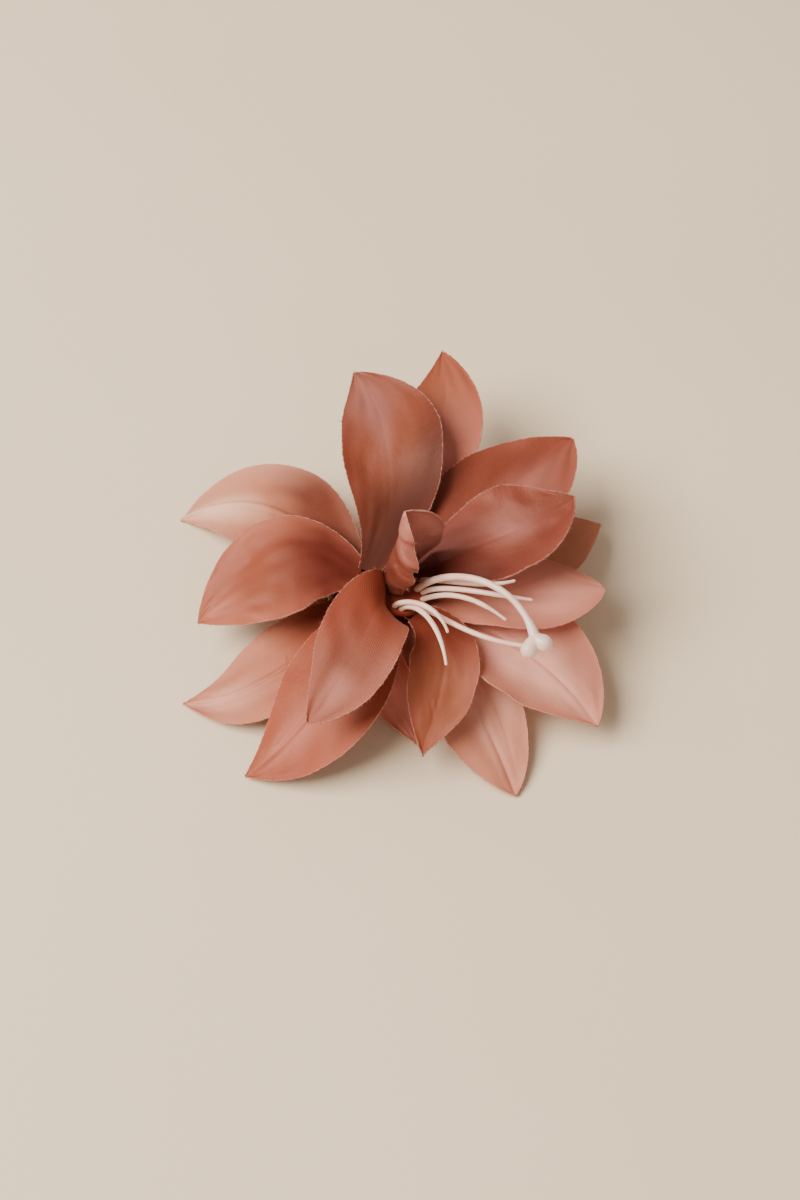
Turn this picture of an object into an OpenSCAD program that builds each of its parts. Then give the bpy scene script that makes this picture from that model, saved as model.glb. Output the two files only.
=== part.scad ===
/* [Petals] */
// Thickness of the satin, with its pressed coating
satin = 0.5; // [0.4:0.1:0.7]
// Width of a petal where it is glued to the calyx
foot_width = 3; // [2:0.5:4]
// Width of a petal at its very tip
tip_width = 1.2; // [0.8:0.2:2]
// Height at which the outer petals are glued on
outer_foot = 13; // [13:0.5:14]
// Height at which the middle petals are glued on
middle_foot = 17; // [16.5:0.5:17.5]

/* [Stamens and pistil] */
// Diameter of a stamen at its foot
stamen_d = 1.4; // [1:0.1:1.6]
// Diameter of the pistil at its foot
pistil_d = 1.8; // [1.4:0.1:2]
// Depth of the notches between the three lobes of the stigma
lobe_depth = 0.22; // [0.15:0.01:0.25]

/* [Calyx and felt] */
// Diameter of the flat underside of the calyx
calyx_d = 18; // [16:1:20]
// Diameter of the column that the petals are glued round
column_d = 10.4; // [10:0.1:10.6]
// Diameter of the felt disc
felt_d = 22; // [20:1:23]
// Thickness of the felt disc
felt_t = 1.5; // [1:0.5:1.5]

/* [Clip] */
// Length of the jaws in front of the hinge
jaw_l = 36; // [32:1:40]
// Length of the two tails behind the hinge, which are pinched to open the clip
tail_l = 14; // [12:1:15]
// Width of the upper jaw
jaw_w = 8; // [8:0.5:10]
// Thickness of the sheet steel
steel = 0.8; // [0.6:0.1:0.9]
// Slope of the upper tail
tail_slope = 28; // [26:1:30]
// Diameter of the hinge pin
pin_d = 1.6; // [1.5:0.1:1.8]
// Number of teeth along each side of the jaws
teeth = 8; // [6:1:9]

/* [Hidden] */
$fn = 48;

// Heights of the hidden stack, from the table upwards
hinge_z = 3;
jaw_under = 5.2;
felt_z = jaw_under + steel;
calyx_z = felt_z + felt_t;
hinge_x = 14;
ear_r = 1.8;
run = 0.06;                       // running clearance round the pin
lower_w = jaw_w - 2 * steel - 0.6; // the lower jaw's ears sit inside the upper one's

// Torsion spring in the hinge: half a turn more than a whole number, so the legs leave on two sides
spring_wire = 0.5;
coil_r = 1.2;
coil_turns = 4.5;
coil_pitch = 0.58;

// Foot of the trumpet, which leans towards +X and -Y
trumpet = [9, -10.5, 22];
trumpet_d = 11;
neck_d = 5;
// Where the neck below it leaves the calyx's column
neck = [1, -1, 17.5];
lean = trumpet - [0, 0, 0.8] - neck;

// Grid of each petal: steps along it and across it
along = 12;
across = 6;

// ---------------------------------------------------------------- petals

// Unit vector with a compass heading (from +X towards +Y) and a slope
function aim(heading, slope) =
  [cos(heading) * cos(slope), sin(heading) * cos(slope), sin(slope)];

function unit(v) = v / norm(v);

// Point and direction on a cubic curve with four control points
function curve(c, s) =
  pow(1 - s, 3) * c[0] + 3 * pow(1 - s, 2) * s * c[1]
  + 3 * (1 - s) * s * s * c[2] + pow(s, 3) * c[3];

function curve_dir(c, s) =
  unit(pow(1 - s, 2) * (c[1] - c[0]) + 2 * (1 - s) * s * (c[2] - c[1]) + s * s * (c[3] - c[2]));

// Half width at s: narrow foot, widest at "peak", pointed tip
function half_width(s, width, peak, blunt) =
  let (
    bell = pow(max(0, sin(180 * pow(s, ln(0.5) / ln(peak)))), blunt),
    foot = foot_width / width * pow(1 - s, 2)
  )
  max(tip_width / 2, width / 2 * (foot + bell * (1 - foot)));

// One petal: a satin blade along a curved midrib, cupped across its width.
// "cup" is half the angle that the cross-section bends through, at foot and at tip.
// "roll" turns the blade about its own midrib.
module petal(foot, heading, rise, tip, tip_heading, droop, width,
             peak = 0.5, cup = [20, 10], blunt = 0.9, hold = [0.38, 0.38], roll = 0) {
  reach = norm(tip - foot);
  rib = [
    foot,
    foot + hold[0] * reach * aim(heading, rise),
    tip - hold[1] * reach * aim(tip_heading, droop),
    tip
  ];
  faces_of = [for (side = [1, -1]) for (i = [0:along]) for (j = [0:across])
    let (
      s = i / along,
      t = 2 * j / across - 1,
      turn = heading + (tip_heading - heading) * s,
      forward = curve_dir(rib, s),
      flat = [-sin(turn), cos(turn), 0],
      level = unit(flat - (flat * forward) * forward),
      above = cross(forward, level),
      left = cos(roll) * level + sin(roll) * above,
      up = cross(forward, left),
      bend = cup[0] + (cup[1] - cup[0]) * s,
      radius = half_width(s, width, peak, blunt) / (bend * PI / 180)
    )
    curve(rib, s)
    + left * (radius - side * satin / 2) * sin(bend * t)
    + up * (radius - (radius - side * satin / 2) * cos(bend * t))
  ];
  row = across + 1;
  layer = row * (along + 1);
  rim = concat(
    [for (i = [0:along]) i * row],
    [for (j = [1:across]) along * row + j],
    [for (i = [along - 1:-1:0]) i * row + across],
    [for (j = [across - 1:-1:1]) j]
  );
  sheet = [for (i = [0:along - 1]) for (j = [0:across - 1])
    [i * row + j, (i + 1) * row + j, (i + 1) * row + j + 1, i * row + j + 1]];
  triangles = concat(
    [for (q = sheet) [q[2], q[1], q[0]]],
    [for (q = sheet) [q[3], q[2], q[0]]],
    [for (q = sheet) [q[0], q[1], q[2]] + layer * [1, 1, 1]],
    [for (q = sheet) [q[0], q[2], q[3]] + layer * [1, 1, 1]],
    [for (k = [0:len(rim) - 1]) let (a = rim[k], b = rim[(k + 1) % len(rim)]) [a, b, b + layer]],
    [for (k = [0:len(rim) - 1]) let (a = rim[k], b = rim[(k + 1) % len(rim)]) [a, b + layer, a + layer]]
  );
  polyhedron(points = faces_of, faces = triangles, convexity = 4);
}

// Foot of a petal on the calyx's column
function on_column(heading, height) =
  [5 * cos(heading), 5 * sin(heading), height];

// Foot of a petal on the rim of the trumpet
function on_rim(heading) =
  trumpet + trumpet_d / 2 * [cos(heading), sin(heading), 0];

module outer_petal_1() {
  color("#d98f78")
    petal(on_column(120, outer_foot), 120, 35, [-46, 41, 0.5], 175, -30, 27, 0.48, [20, 5]);
}

module outer_petal_2() {
  color("#d48a72")
    petal(on_column(221, outer_foot), 221, 0, [-52, -15, 0.5], 165, -8, 23, 0.47, [12, 10]);
}

module outer_petal_3() {
  color("#d9927f")
    petal(on_column(268, outer_foot), 268, -5, [4, -40, 1], 275, -10, 17, 0.5, [10, 10]);
}

module outer_petal_4() {
  color("#db9581")
    petal(on_column(304, outer_foot), 304, 20, [25, -59, 0.5], 277, -15, 22, 0.58, [20, 12]);
}

module outer_petal_5() {
  color("#b0705a")
    petal(on_column(-8, outer_foot), -8, 14, [62, 7, 8], 20, -15, 26, 0.6, [20, 10]);
}

module outer_petal_6() {
  color("#c07c5e")
    petal(on_column(48, outer_foot), 48, 35, [32, 60, 24], 92, -10, 25, 0.5, [25, 10]);
}

module middle_petal_1() {
  color("#b86e5a")
    petal(on_column(150, middle_foot), 150, 48, [-44, 2, 10], 200, -30, 30, 0.47, [20, 5]);
}

module middle_petal_2() {
  color("#bd7359")
    petal(on_column(262, middle_foot), 262, 25, [-39, -39, 1], 190, -25, 24, 0.5, [20, 8]);
}

module middle_petal_3() {
  color("#c9806f")
    petal(on_column(318, middle_foot - 1), 318, 12, [48, -49, 8], 290, -15, 27, 0.58, [25, 12]);
}

module middle_petal_4() {
  color("#d08b79")
    petal(on_column(-25, middle_foot), -25, 15, [57, -19, 20], 3, -10, 22, 0.58, [25, 12]);
}

module middle_petal_5() {
  color("#b76e5c")
    petal(on_column(10, middle_foot), 10, 42, [59, 24, 24], 40, -5, 27, 0.6, [25, 10]);
}

module middle_petal_6() {
  color("#b5705a")
    petal(on_column(42, middle_foot), 42, 55, [8, 53, 32], 114, -10, 27, 0.55, [30, 15]);
}

// Upper right petal of the trumpet
module trumpet_petal_1() {
  color("#a8604f")
    petal([12, -4, 22.5], -2, 30, [54, -1, 36], 30, 0, 25, 0.58, [25, 20], 0.75);
}

// Petal folded over the left rim of the trumpet
module trumpet_petal_2() {
  color("#bf7a66")
    petal(on_rim(190), 180, 100, [-20, -40, 24], 205, -30, 21, 0.55, [5, 5], 0.9, [0.45, 0.5], -10);
}

// Lower petal of the trumpet
module trumpet_petal_3() {
  color("#b3705c")
    petal(on_rim(285), 315, 5, [5, -48, 10], 240, -35, 18, 0.5, [28, 28], 0.9, [0.45, 0.45]);
}

// Small petal rolled into a scroll at the back of the trumpet
module trumpet_petal_4() {
  color("#cf8a76")
    petal(on_rim(125), 130, 80, [13, -3, 48], 105, 85, 24, 0.55, [90, 100], 0.4, [0.4, 0.4], 15);
}

// ---------------------------------------------------------------- stamens and pistil

// A round wire or filament swept through a list of points, tapering from foot to tip
module wire(path, d_foot, d_tip, sides = 10) {
  last = len(path) - 1;
  points = [for (i = [0:last]) for (k = [0:sides - 1])
    let (
      forward = unit(path[min(i + 1, last)] - path[max(i - 1, 0)]),
      left = unit(cross([0.03, 0.05, 1], forward)),
      up = cross(forward, left),
      r = (d_foot + (d_tip - d_foot) * i / last) / 2
    )
    path[i] + r * (left * cos(360 * k / sides) + up * sin(360 * k / sides))
  ];
  skin(points, sides);
}

// A closed skin over rings of points, each ring with the same number of sides
module skin(points, sides) {
  last = len(points) / sides - 1;
  walls = [for (i = [0:last - 1]) for (k = [0:sides - 1])
    let (a = i * sides + k, b = i * sides + (k + 1) % sides)
    [b, a, a + sides, b + sides]];
  triangles = concat(
    [for (q = walls) [q[0], q[1], q[2]]],
    [for (q = walls) [q[0], q[2], q[3]]],
    [[for (k = [0:sides - 1]) k]],
    [[for (k = [sides - 1:-1:0]) last * sides + k]]
  );
  polyhedron(points = points, faces = triangles, convexity = 4);
}

function curve_points(rib, rings) = [for (i = [0:rings]) curve(rib, i / rings)];

module stamen(foot, lift, bend, tip) {
  color("#f0dccb")
    wire(curve_points([foot, foot + lift, tip - bend, tip], 14), stamen_d, 0.7);
}

module stamen_1() {
  stamen([13.2, -7.2, 23], [6, -5, 7], [8, 0.5, 0], [35, -19.5, 34]);
}

module stamen_2() {
  stamen([13.2, -11, 23], [4, -3, 9], [9, -3, -1], [38, -25, 33]);
}

module stamen_3() {
  stamen([12.8, -12.7, 23], [5, -4, 8], [7, -8, -3], [31, -27, 30]);
}

module stamen_4() {
  stamen([11, -14.3, 23], [4, -4.5, 6], [18, -4, 0], [40, -37, 30]);
}

module stamen_5() {
  stamen([5.8, -12.9, 22.9], [1.5, -3, 8], [1, -8, -3], [17, -27, 30]);
}

module stamen_6() {
  stamen([7.2, -14.2, 22.9], [2.5, -2.5, 8], [-1, -12, -4], [15, -35, 29]);
}

module pistil() {
  rib = [[12, -9.6, 23], [18, -14, 38], [35, -20, 41], [36.5, -37.4, 33.9]];
  sides = 24;
  last = 30;
  // the style flares over its last few rings into a blunt end of three lobes
  flare = [1, 1.4, 2.0, 2.6, 3.0, 3.1, 2.7, 1.6];
  points = [for (i = [0:last]) for (k = [0:sides - 1])
    let (
      s = i < last - 7 ? 0.86 * i / (last - 7) : 0.86 + 0.14 * (i - last + 7) / 7,
      forward = curve_dir(rib, s),
      left = unit(cross([0.03, 0.05, 1], forward)),
      up = cross(forward, left),
      swell = i < last - 7 ? 1 : flare[i - last + 7],
      angle = 360 * k / sides,
      r = pistil_d / 2 * swell * (1 + lobe_depth * (swell - 1) * cos(3 * (angle - 90)))
    )
    curve(rib, s) + r * (left * cos(angle) + up * sin(angle))
  ];
  color("#f3e0d0")
    skin(points, sides);
}

// ---------------------------------------------------------------- calyx and felt

module calyx() {
  color("#7d3d2d") {
    translate([0, 0, calyx_z])
      cylinder(h = 1.5, d = calyx_d);
    translate([0, 0, calyx_z + 1.5])
      cylinder(h = 3, d1 = calyx_d - 3, d2 = column_d);
    translate([0, 0, calyx_z + 1])
      cylinder(h = 10, d = column_d);
    // the neck that carries the trumpet, leaning out of the column
    translate(neck)
      rotate([0, 0, atan2(lean[1], lean[0])])
        rotate([0, atan2(norm([lean[0], lean[1]]), lean[2]), 0])
          cylinder(h = norm(lean), d = neck_d);
    translate(trumpet)
      cylinder(h = 1.6, d = trumpet_d);
  }
}

module felt_disc() {
  color("#c9a08c")
    translate([0, 0, felt_z])
      cylinder(h = felt_t, d = felt_d);
}

// ---------------------------------------------------------------- clip

// A strip with a row of triangular teeth, standing along X and ending at x = 0
module tooth_row(length, base, tooth) {
  pitch = length / teeth;
  rotate([90, 0, 0])
    linear_extrude(height = steel)
      polygon(concat(
        [[0, 0], [0, base]],
        [for (i = [0:teeth - 1], e = [0, 1]) [-(i + 0.5 * (e + 1)) * pitch, e == 0 ? base + tooth : base]],
        [[-length, 0]]
      ));
}

// Side plate round the hinge: a round ear with a foot that reaches the strip
module ear(y, z_strip) {
  translate([hinge_x, y + steel, hinge_z])
    rotate([90, 0, 0])
      cylinder(h = steel, r = ear_r);
  translate([hinge_x - ear_r, y, min(z_strip, hinge_z)])
    cube([2 * ear_r, steel, abs(z_strip - hinge_z)]);
}

module pin_hole(d) {
  translate([hinge_x, jaw_w, hinge_z])
    rotate([90, 0, 0])
      cylinder(h = 2 * jaw_w, d = d);
}

front_x = hinge_x - jaw_l;
tooth_l = 16;

module upper_jaw() {
  color("#c9ccd1")
    difference() {
      union() {
        translate([front_x, -jaw_w / 2, jaw_under])
          cube([jaw_l + 1, jaw_w, steel]);
        // tail, sloping up and away from the lower one
        translate([hinge_x + 1, -jaw_w / 2, jaw_under])
          rotate([0, -tail_slope, 0])
            cube([tail_l / cos(tail_slope), jaw_w, steel]);
        for (y = [-jaw_w / 2, jaw_w / 2 - steel])
          ear(y, jaw_under + steel / 2);
        // toothed side flanges near the mouth
        for (y = [-jaw_w / 2 + steel, jaw_w / 2])
          translate([front_x + tooth_l, y, jaw_under + steel])
            mirror([0, 0, 1])
              tooth_row(tooth_l, 1.6, 1.3);
      }
      pin_hole(pin_d);
    }
}

module lower_jaw() {
  color("#c4c7cc")
    difference() {
      union() {
        translate([front_x, -lower_w / 2, 0])
          cube([jaw_l + tail_l, lower_w, steel]);
        for (y = [-lower_w / 2, lower_w / 2 - steel])
          ear(y, steel / 2);
        for (y = [-lower_w / 2 + steel, lower_w / 2])
          translate([front_x + tooth_l, y, 0])
            tooth_row(tooth_l, 1.8, 1.3);
      }
      pin_hole(pin_d + 2 * run);
    }
}

module hinge_pin() {
  color("#aeb2b8") {
    translate([hinge_x, jaw_w / 2 + 0.3, hinge_z])
      rotate([90, 0, 0])
        cylinder(h = jaw_w + 0.6, d = pin_d);
    for (y = [jaw_w / 2 + 0.6, -jaw_w / 2])
      translate([hinge_x, y, hinge_z])
        rotate([90, 0, 0])
          cylinder(h = 0.6, d = pin_d + 0.8);
  }
}

// Torsion spring: coils round the pin, one leg up against the upper jaw and one down on the lower
module hinge_spring() {
  coil = [for (k = [0:coil_turns * 16 + 1])
    let (a = 22.5 * k + 90)
    [hinge_x + coil_r * cos(a), coil_pitch * (k / 16 - coil_turns / 2), hinge_z + coil_r * sin(a)]];
  upper_leg = coil[0] + [-6.5, -0.1, 0.4];
  lower_leg = coil[len(coil) - 1] + [-6.5, 0.1, -0.3];
  color("#9a9ea5")
    wire(concat([upper_leg], coil, [lower_leg]), spring_wire, spring_wire, 8);
}

outer_petal_1();
outer_petal_2();
outer_petal_3();
outer_petal_4();
outer_petal_5();
outer_petal_6();
middle_petal_1();
middle_petal_2();
middle_petal_3();
middle_petal_4();
middle_petal_5();
middle_petal_6();
trumpet_petal_1();
trumpet_petal_2();
trumpet_petal_3();
trumpet_petal_4();
stamen_1();
stamen_2();
stamen_3();
stamen_4();
stamen_5();
stamen_6();
pistil();
calyx();
felt_disc();
upper_jaw();
lower_jaw();
hinge_pin();
hinge_spring();
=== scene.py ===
"""Satin lily hair clip: the looks of every piece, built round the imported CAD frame. Metres throughout."""

from math import cos, log, pi, radians, sin

import bmesh
import bpy
import numpy as np
from mathutils import Matrix, Vector


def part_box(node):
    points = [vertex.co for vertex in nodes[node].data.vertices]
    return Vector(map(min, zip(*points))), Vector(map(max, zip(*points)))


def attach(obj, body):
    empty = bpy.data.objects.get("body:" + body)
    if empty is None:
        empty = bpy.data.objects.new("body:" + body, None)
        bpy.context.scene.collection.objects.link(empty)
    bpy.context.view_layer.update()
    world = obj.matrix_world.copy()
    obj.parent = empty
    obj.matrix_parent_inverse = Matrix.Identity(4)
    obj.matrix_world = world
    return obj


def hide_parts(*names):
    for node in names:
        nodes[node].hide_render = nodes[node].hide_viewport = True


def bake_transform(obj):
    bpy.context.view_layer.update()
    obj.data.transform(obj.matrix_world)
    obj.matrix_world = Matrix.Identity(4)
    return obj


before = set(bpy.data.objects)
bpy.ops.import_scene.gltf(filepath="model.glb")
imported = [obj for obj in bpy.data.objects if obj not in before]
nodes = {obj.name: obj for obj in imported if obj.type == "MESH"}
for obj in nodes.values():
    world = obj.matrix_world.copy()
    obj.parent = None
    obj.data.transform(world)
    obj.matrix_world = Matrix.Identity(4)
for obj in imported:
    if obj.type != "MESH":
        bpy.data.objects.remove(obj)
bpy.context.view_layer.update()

MM = 0.001
SATIN = 0.34 * MM          # thickness of the coated satin
ALONG, ACROSS = 150, 72    # grid of a petal

# The flower's plan as in the CAD, mm
FOOT_RADIUS = 5            # feet of the outer and middle petals, from the middle of the calyx
OUTER_FOOT = 13            # heights of their feet
MIDDLE_FOOT = 17
TRUMPET = (9, -10.5, 22)   # middle of the rim that the trumpet's petals stand on
TRUMPET_RADIUS = 5.5

# Cut of every petal, mm
FOOT_WIDTH = 6
TIP_WIDTH = 0.7
EDGE_WANDER = 0.012        # share by which the cut strays from its line
EDGE_FRAY = 0.05
SCALLOPS = 4.6             # scallops from foot to tip, where a petal has them
TUCKED_SHARE = 0.3         # share of a petal's length that a tucked foot takes along
LOOSE_THREADS = 170        # usual number on a petal

# First seeds of the random draws, each petal and stamen taking the next one
PETAL_SEED = 100
THREAD_SEED = 500
STAMEN_SEED = 900
FELT_SEED = 77


# ------------------------------------------------------------------ camera and light

def aim_camera(target, distance, elevation, roll, lens):
    """A camera looking along +Y and down, turned about its own line of sight."""
    e, r = radians(elevation), radians(roll)
    forward = Vector((0, cos(e), -sin(e)))
    right0 = Vector((1, 0, 0))
    up0 = Vector((0, sin(e), cos(e)))
    right = right0 * cos(r) + up0 * sin(r)
    up = up0 * cos(r) - right0 * sin(r)
    data = bpy.data.cameras.new("camera")
    data.lens = lens
    data.sensor_width = 36
    data.clip_start = 0.01
    cam = bpy.data.objects.new("camera", data)
    bpy.context.scene.collection.objects.link(cam)
    m = Matrix((right, up, -forward)).transposed().to_4x4()
    m.translation = Vector(target) - forward * distance
    cam.matrix_world = m
    bpy.context.scene.camera = cam


aim_camera(target=(0.0075, -0.0073, 0.016), distance=0.467, elevation=59, roll=-12, lens=56.1)


def area_light(name, place, target, size, watts, colour):
    data = bpy.data.lights.new(name, "AREA")
    data.shape = "RECTANGLE"
    data.size, data.size_y = size
    data.energy = watts
    data.color = colour
    lamp = bpy.data.objects.new(name, data)
    bpy.context.scene.collection.objects.link(lamp)
    lamp.location = place
    lamp.rotation_euler = (Vector(target) - Vector(place)).to_track_quat("-Z", "Y").to_euler()


area_light("window", place=(-0.55, 0.02, 0.92), target=(0, 0, 0.01), size=(0.75, 0.75),
           watts=25, colour=(1.0, 0.965, 0.92))
area_light("fill", place=(0.3, -0.8, 0.7), target=(0, 0, 0.01), size=(0.9, 0.9),
           watts=1.5, colour=(1.0, 0.95, 0.9))

world = bpy.data.worlds.new("studio")
world.use_nodes = True
bpy.context.scene.world = world
background = world.node_tree.nodes["Background"]
background.inputs["Color"].default_value = (1.0, 0.965, 0.93, 1)
background.inputs["Strength"].default_value = 0.36


# ------------------------------------------------------------------ node helpers

class Tree:
    """A short way to write a material's nodes."""

    def __init__(self, name):
        self.mat = bpy.data.materials.new(name)
        self.mat.use_nodes = True
        self.t = self.mat.node_tree
        self.out = self.t.nodes["Material Output"]
        self.bsdf = self.t.nodes["Principled BSDF"]

    def add(self, kind, **settings):
        n = self.t.nodes.new(kind)
        for k, v in settings.items():
            setattr(n, k, v)
        return n

    def put(self, socket, value):
        if isinstance(value, bpy.types.NodeSocket):
            self.t.links.new(value, socket)
        elif isinstance(value, (tuple, list)) and len(value) == 3 and socket.type == "RGBA":
            socket.default_value = (*value, 1)
        else:
            socket.default_value = value

    def math(self, op, a, b=0.0, clamp=False):
        n = self.add("ShaderNodeMath", operation=op, use_clamp=clamp)
        self.put(n.inputs[0], a)
        self.put(n.inputs[1], b)
        return n.outputs[0]

    def plus(self, a, b):
        return self.math("ADD", a, b)

    def minus(self, a, b):
        return self.math("SUBTRACT", a, b)

    def times(self, a, b, clamp=False):
        return self.math("MULTIPLY", a, b, clamp)

    def mix(self, factor, a, b):
        n = self.add("ShaderNodeMix", data_type="RGBA")
        self.put(n.inputs["Factor"], factor)
        self.put(n.inputs["A"], a)
        self.put(n.inputs["B"], b)
        return n.outputs["Result"]

    def ramp(self, value, low, high, out_low=0.0, out_high=1.0):
        n = self.add("ShaderNodeMapRange", interpolation_type="SMOOTHSTEP")
        self.put(n.inputs["Value"], value)
        for k, v in (("From Min", low), ("From Max", high), ("To Min", out_low), ("To Max", out_high)):
            n.inputs[k].default_value = v
        return n.outputs["Result"]

    def noise(self, vector, scale, detail=2.0, rough=0.5):
        n = self.add("ShaderNodeTexNoise")
        self.put(n.inputs["Vector"], vector)
        n.inputs["Scale"].default_value = scale
        n.inputs["Detail"].default_value = detail
        n.inputs["Roughness"].default_value = rough
        return n.outputs["Fac"]

    def stretch(self, vector, scale, turn=0.0):
        n = self.add("ShaderNodeMapping")
        self.put(n.inputs["Vector"], vector)
        n.inputs["Scale"].default_value = scale
        n.inputs["Rotation"].default_value = (0, 0, radians(turn))
        return n.outputs["Vector"]

    def wave(self, vector, scale, distortion=0.0):
        n = self.add("ShaderNodeTexWave", wave_type="BANDS", bands_direction="X")
        self.put(n.inputs["Vector"], vector)
        n.inputs["Scale"].default_value = scale
        n.inputs["Distortion"].default_value = distortion
        n.inputs["Detail"].default_value = 1.0
        n.inputs["Detail Scale"].default_value = 1.5
        return n.outputs["Fac"]

    def bump(self, height, depth, strength=1.0, after=None):
        n = self.add("ShaderNodeBump")
        n.inputs["Strength"].default_value = strength
        n.inputs["Distance"].default_value = depth
        self.put(n.inputs["Height"], height)
        if after is not None:
            self.put(n.inputs["Normal"], after)
        return n.outputs["Normal"]

    def attribute(self, name):
        return self.add("ShaderNodeAttribute", attribute_name=name, attribute_type="GEOMETRY")

    def parts(self, vector):
        n = self.add("ShaderNodeSeparateXYZ")
        self.put(n.inputs[0], vector)
        return n.outputs

    def where(self):
        return self.add("ShaderNodeTexCoord").outputs["Object"]


def srgb(*c):
    """Display colour 0-255 to linear."""
    return tuple(((v / 255 + 0.055) / 1.055) ** 2.4 if v > 10 else v / 255 / 12.92 for v in c)


def darker(colour, share):
    return tuple(c * share for c in colour)


# Looks of the satin
DYE = (0.73, 0.49, 0.38)          # share of each dye colour that the cloth keeps under its pale gloss
RIM_DYE = srgb(228, 172, 152)     # the cut edge
GLOSS_TINT = (1.0, 0.62, 0.5, 1)
SHEEN_TINT = (1.0, 0.80, 0.72, 1)
THROUGH_LIGHT = srgb(226, 92, 52)
GLOW = 0.16                       # share of the light that comes through the cloth
WARP_ANGLE, WEFT_ANGLE = 38, -52  # run of the threads to the midrib, degrees


# ------------------------------------------------------------------ petals
#
# Lengths are in mm here. A petal's own coordinates are s, from 0 at the foot to 1 at the tip, and t,
# from -1 at the right edge to 1 at the left edge, for someone who walks along it from foot to tip.

def heading_dir(heading, slope):
    """Unit vector with a compass heading in the XY plane and a slope above it, both in degrees."""
    h, s = radians(heading), radians(slope)
    return np.array([cos(h) * cos(s), sin(h) * cos(s), sin(s)])


def unit(v):
    return v / np.maximum(np.linalg.norm(v, axis=-1, keepdims=True), 1e-12)


def cubic(c, s):
    """Bezier curve through c[0] and c[3]."""
    return (1 - s) ** 3 * c[0] + 3 * (1 - s) ** 2 * s * c[1] + 3 * (1 - s) * s ** 2 * c[2] + s ** 3 * c[3]


def cubic_dir(c, s):
    return unit((1 - s) ** 2 * (c[1] - c[0]) + 2 * (1 - s) * s * (c[2] - c[1]) + s ** 2 * (c[3] - c[2]))


def smooth(x, a, b):
    """Rises smoothly from 0 at a to 1 at b."""
    u = np.clip((x - a) / (b - a), 0, 1)
    return u * u * (3 - 2 * u)


def groove(distance, width):
    """Round cross-section, 1 in the middle and almost 0 at twice the width."""
    return np.exp(-(distance / width) ** 2)


def waves(rng, s, t, count, low, high):
    """A smooth random field over a petal, from a few plane waves. About 1 high."""
    total = np.zeros(np.broadcast(s, t).shape)
    for _ in range(count):
        f = rng.uniform(low, high)
        a = rng.uniform(0, 2 * pi)
        total += np.sin(2 * pi * f * (s * cos(a) + t * 0.35 * sin(a)) + rng.uniform(0, 2 * pi))
    return total / count ** 0.5


def bell(s, width, peak, blunt):
    """Half width at s of a petal that is widest at peak."""
    top = np.clip(np.sin(pi * s ** (log(0.5) / log(peak))), 0, 1) ** blunt
    foot = FOOT_WIDTH / width * (1 - s) ** 2
    return np.maximum(TIP_WIDTH / 2, width / 2 * (foot + top * (1 - foot)))


def midrib(p, s):
    """The midrib, the petal's own left and up directions along it, and its reach from foot to tip."""
    foot, tip = np.array(p["foot"], float), np.array(p["tip"], float)
    reach = np.linalg.norm(tip - foot)
    rib = np.array([
        foot,
        foot + p["hold"][0] * reach * heading_dir(p["heading"], p["rise"]),
        tip - p["hold"][1] * reach * heading_dir(p["tip_heading"], p["droop"]),
        tip,
    ])
    forward = cubic_dir(rib, s)
    turn = np.radians(p["heading"] + (p["tip_heading"] - p["heading"]) * s[:, 0])
    flat = np.stack([-np.sin(turn), np.cos(turn), 0 * turn], -1)
    left = unit(flat - (flat * forward).sum(1, keepdims=True) * forward)
    up = np.cross(forward, left)
    roll = np.radians(p["roll"][0] * (1 - s) + p["roll"][1] * s)
    left, up = left * np.cos(roll) + up * np.sin(roll), up * np.cos(roll) - left * np.sin(roll)
    return cubic(rib, s), left, up, reach


def half_widths(p, s, rng):
    """Half widths of the right and the left side. The cut edge wanders a little, and frays."""
    sides = []
    for peak, share, scallop in zip(p["peaks"], p["sides"], p["scallop"]):
        w = bell(s, p["width"], peak, p["blunt"]) * share
        w *= 1 + EDGE_WANDER * waves(rng, s, 0 * s, 4, 2, 6)
        w += EDGE_FRAY * rng.normal(size=w.shape) * (w > TIP_WIDTH)
        w += scallop * np.sin(2 * pi * SCALLOPS * s) * smooth(s, 0.1, 0.3) * (1 - smooth(s, 0.85, 1))
        sides.append(w)
    return sides


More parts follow.
